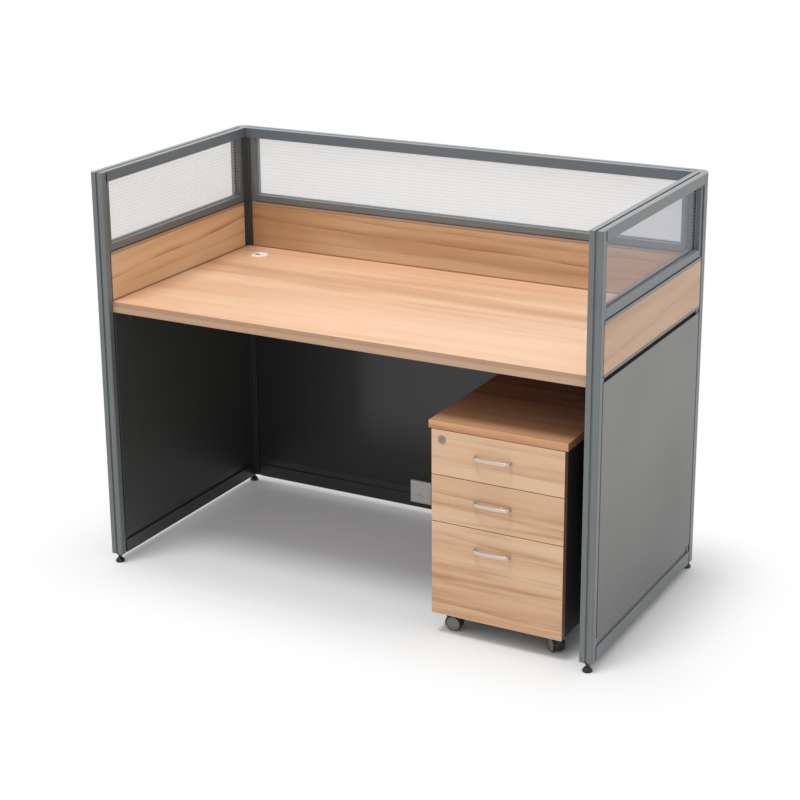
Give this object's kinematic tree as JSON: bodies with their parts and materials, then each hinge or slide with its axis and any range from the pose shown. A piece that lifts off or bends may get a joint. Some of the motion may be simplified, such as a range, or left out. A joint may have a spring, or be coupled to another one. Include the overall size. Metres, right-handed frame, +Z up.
{
  "type": "cubicle workstation",
  "caption": "Single cubicle workstation: three framed screens with glass, wood and grey boards round a desk, and a mobile drawer pedestal under it.",
  "frame": {"origin": "centre of the bounding box on the floor", "axes": "+X to the right of a person at the desk, +Y to the back screen, +Z up"},
  "size_m": [1.43, 0.72, 1.1],
  "materials": {
    "frame_coat": "mid-grey satin powder coat on aluminium extrusions",
    "wood_laminate": "light beech-look laminate with a horizontal grain, satin",
    "grey_board": "smooth grey laminate board, satin",
    "ribbed_glass": "frosted, with fine horizontal ribs",
    "gasket_rubber": "matt rubber",
    "foot_plastic": "black moulded plastic",
    "bracket_steel": "black powder-coated steel",
    "grommet_plastic": "white moulded plastic",
    "socket_plastic": "grey moulded plastic",
    "carcass_board": "black laminate board",
    "drawer_board": "grey foil-wrapped board",
    "runner_steel": "zinc-plated steel strip",
    "handle_chrome": "bright chrome",
    "lock_metal": "satin nickel",
    "castor_housing": "black moulded nylon",
    "castor_wheel": "dark grey moulded nylon"
  },
  "bodies": {
    "workstation_frame": {"left_stiles": "frame_coat", "left_top_rail": "frame_coat", "left_cross_rails": "frame_coat", "left_bottom_rail": "frame_coat", "left_glass": "ribbed_glass", "left_wood_tiles": "wood_laminate", "left_lower_tiles": "grey_board", "right_stiles": "frame_coat", "right_top_rail": "frame_coat", "right_cross_rails": "frame_coat", "right_bottom_rail": "frame_coat", "right_glass": "ribbed_glass", "right_wood_tiles": "wood_laminate", "right_lower_tiles": "grey_board", "back_stiles": "frame_coat", "back_top_rail": "frame_coat", "back_cross_rails": "frame_coat", "back_bottom_rail": "frame_coat", "back_glass": "ribbed_glass", "back_wood_tiles": "wood_laminate", "back_lower_tiles": "grey_board", "glazing_gaskets": "gasket_rubber", "end_trims": "frame_coat", "left_corner_post": "frame_coat", "right_corner_post": "frame_coat", "corner_caps": "frame_coat", "desk_top": "wood_laminate", "desk_brackets": "bracket_steel", "grommet_ring": "grommet_plastic", "power_socket": "socket_plastic"},
    "foot_front_left_body": {"foot_front_left": "foot_plastic"},
    "foot_front_right_body": {"foot_front_right": "foot_plastic"},
    "foot_back_left_body": {"foot_back_left": "foot_plastic"},
    "foot_back_right_body": {"foot_back_right": "foot_plastic"},
    "grommet_cover": {"grommet_cap": "grommet_plastic"},
    "pedestal": {"pedestal_top": "wood_laminate", "pedestal_sides": "carcass_board", "pedestal_back": "carcass_board", "pedestal_bottom": "carcass_board", "drawer_runners": "runner_steel"},
    "top_drawer": {"top_drawer_front": "wood_laminate", "top_drawer_box": "drawer_board", "top_drawer_handle": "handle_chrome", "lock_housing": "lock_metal"},
    "middle_drawer": {"middle_drawer_front": "wood_laminate", "middle_drawer_box": "drawer_board", "middle_drawer_handle": "handle_chrome"},
    "file_drawer": {"file_drawer_front": "wood_laminate", "file_drawer_box": "drawer_board", "file_drawer_handle": "handle_chrome"},
    "lock_barrel": {"lock_cylinder": "lock_metal"},
    "lock_rail": {"lock_bar": "runner_steel"},
    "castor_front_left_body": {"castor_fork_front_left": "castor_housing"},
    "castor_front_left_wheels": {"castor_wheels_front_left": "castor_wheel"},
    "castor_front_right_body": {"castor_fork_front_right": "castor_housing"},
    "castor_front_right_wheels": {"castor_wheels_front_right": "castor_wheel"},
    "castor_back_left_body": {"castor_fork_back_left": "castor_housing"},
    "castor_back_left_wheels": {"castor_wheels_back_left": "castor_wheel"},
    "castor_back_right_body": {"castor_fork_back_right": "castor_housing"},
    "castor_back_right_wheels": {"castor_wheels_back_right": "castor_wheel"}
  },
  "joints": [
    {"name": "level_front_left", "type": "slide", "parent": "workstation_frame", "child": "foot_front_left_body", "axis": [0, 0, -1], "range_m": [0, 0.02]},
    {"name": "level_front_right", "type": "slide", "parent": "workstation_frame", "child": "foot_front_right_body", "axis": [0, 0, -1], "range_m": [0, 0.02]},
    {"name": "level_back_left", "type": "slide", "parent": "workstation_frame", "child": "foot_back_left_body", "axis": [0, 0, -1], "range_m": [0, 0.02]},
    {"name": "level_back_right", "type": "slide", "parent": "workstation_frame", "child": "foot_back_right_body", "axis": [0, 0, -1], "range_m": [0, 0.02]},
    {"name": "grommet_turn", "type": "hinge", "parent": "workstation_frame", "child": "grommet_cover", "pos_m": [-0.5875, 0.2405, 0.7505], "axis": [0, 0, 1], "continuous": true},
    {"name": "pedestal_roll", "type": "slide", "parent": "workstation_frame", "child": "pedestal", "axis": [0, -1, 0], "range_m": [-0.15, 0.6]},
    {"name": "top_drawer_pull", "type": "slide", "parent": "pedestal", "child": "top_drawer", "axis": [0, -1, 0], "range_m": [0, 0.35]},
    {"name": "middle_drawer_pull", "type": "slide", "parent": "pedestal", "child": "middle_drawer", "axis": [0, -1, 0], "range_m": [0, 0.35]},
    {"name": "file_drawer_pull", "type": "slide", "parent": "pedestal", "child": "file_drawer", "axis": [0, -1, 0], "range_m": [0, 0.35]},
    {"name": "lock_turn", "type": "hinge", "parent": "top_drawer", "child": "lock_barrel", "pos_m": [0.2975, -0.33, 0.526], "axis": [0, 1, 0], "range_deg": [0, 90]},
    {"name": "lock_lift", "type": "slide", "parent": "pedestal", "child": "lock_rail", "axis": [0, 0, 1], "range_m": [0, 0.01131]},
    {"name": "swivel_front_left", "type": "hinge", "parent": "pedestal", "child": "castor_front_left_body", "pos_m": [0.2965, -0.29, 0.06], "axis": [0, 0, 1], "continuous": true},
    {"name": "roll_front_left", "type": "hinge", "parent": "castor_front_left_body", "child": "castor_front_left_wheels", "pos_m": [0.31047, -0.28902, 0.0195], "axis": [-0.0698, 0.9976, 0], "continuous": true},
    {"name": "swivel_front_right", "type": "hinge", "parent": "pedestal", "child": "castor_front_right_body", "pos_m": [0.5955, -0.29, 0.06], "axis": [0, 0, 1], "continuous": true},
    {"name": "roll_front_right", "type": "hinge", "parent": "castor_front_right_body", "child": "castor_front_right_wheels", "pos_m": [0.5851, -0.28063, 0.0195], "axis": [-0.6691, -0.7431, 0], "continuous": true},
    {"name": "swivel_back_left", "type": "hinge", "parent": "pedestal", "child": "castor_back_left_body", "pos_m": [0.2965, 0.106, 0.06], "axis": [0, 0, 1], "continuous": true},
    {"name": "roll_back_left", "type": "hinge", "parent": "castor_back_left_body", "child": "castor_back_left_wheels", "pos_m": [0.28438, 0.113, 0.0195], "axis": [-0.5, -0.866, 0], "continuous": true},
    {"name": "swivel_back_right", "type": "hinge", "parent": "pedestal", "child": "castor_back_right_body", "pos_m": [0.5955, 0.106, 0.06], "axis": [0, 0, 1], "continuous": true},
    {"name": "roll_back_right", "type": "hinge", "parent": "castor_back_right_body", "child": "castor_back_right_wheels", "pos_m": [0.60142, 0.11869, 0.0195], "axis": [-0.9063, 0.4226, 0], "continuous": true}
  ],
  "couplings": [
    {"joint": "lock_turn", "follows": "lock_lift", "rad_per_m": 138.84}
  ]
}
